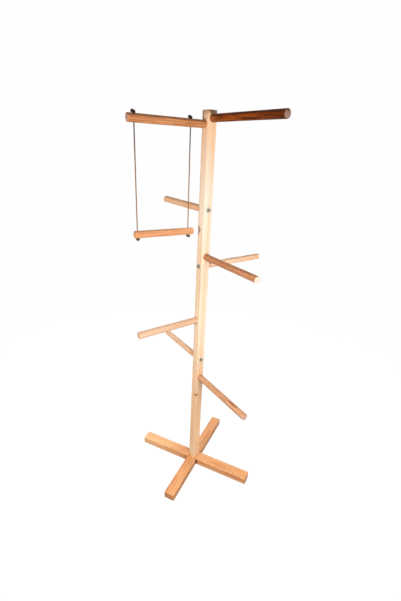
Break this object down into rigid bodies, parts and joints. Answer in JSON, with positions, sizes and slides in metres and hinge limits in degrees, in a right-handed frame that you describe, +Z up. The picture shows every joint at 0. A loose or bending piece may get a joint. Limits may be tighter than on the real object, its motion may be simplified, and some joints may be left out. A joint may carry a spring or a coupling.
{
  "type": "parrot play stand",
  "caption": "Free-standing wooden play stand for parrots: a square post on a crossed foot, round perches bolted to its faces and a rope swing under the top beam.",
  "frame": {"origin": "on the floor, on the axis of the post, under the crossing of the foot beams", "axes": "+Z up along the post; +X right, the way the top right perch points; -Y front, the way the swing beam points"},
  "size_m": [0.721, 0.669, 1.792],
  "materials": {
    "post_pine": "planed, unvarnished pine",
    "foot_wood": "planed, satin",
    "swing_beam_wood": "sanded, reddish brown",
    "bark_wood": "dark streaked bark",
    "peach_wood": "sanded, peach brown",
    "red_wood": "sanded, reddish brown",
    "pale_wood": "sanded, pale",
    "brown_wood": "sanded, mid brown",
    "amber_wood": "sanded, orange brown",
    "orange_wood": "sanded, orange",
    "jute_cord": "twisted natural fibre",
    "zinc_steel": "zinc plated"
  },
  "bodies": {
    "stand": {"post": "post_pine", "long_foot_beam": "foot_wood", "cross_foot_beam": "foot_wood", "swing_beam": "swing_beam_wood", "top_right_perch": "bark_wood", "upper_left_perch": "peach_wood", "middle_right_perch": "red_wood", "middle_rear_perch": "pale_wood", "lower_front_perch": "peach_wood", "lower_left_perch": "brown_wood", "bottom_right_perch": "amber_wood", "perch_screws": "zinc_steel", "perch_washers": "zinc_steel", "foot_screw": "zinc_steel", "foot_washer": "zinc_steel", "outer_top_knot": "jute_cord", "inner_top_knot": "jute_cord"},
    "swing": {"swing_perch": "orange_wood", "outer_swing_cord": "jute_cord", "inner_swing_cord": "jute_cord", "outer_bottom_knot": "jute_cord", "inner_bottom_knot": "jute_cord"}
  },
  "joints": [
    {"name": "swing_pivot", "type": "hinge", "parent": "stand", "child": "swing", "pos_m": [0, -0.198, 1.727], "axis": [0, 1, 0], "range_deg": [-60, 60]}
  ]
}
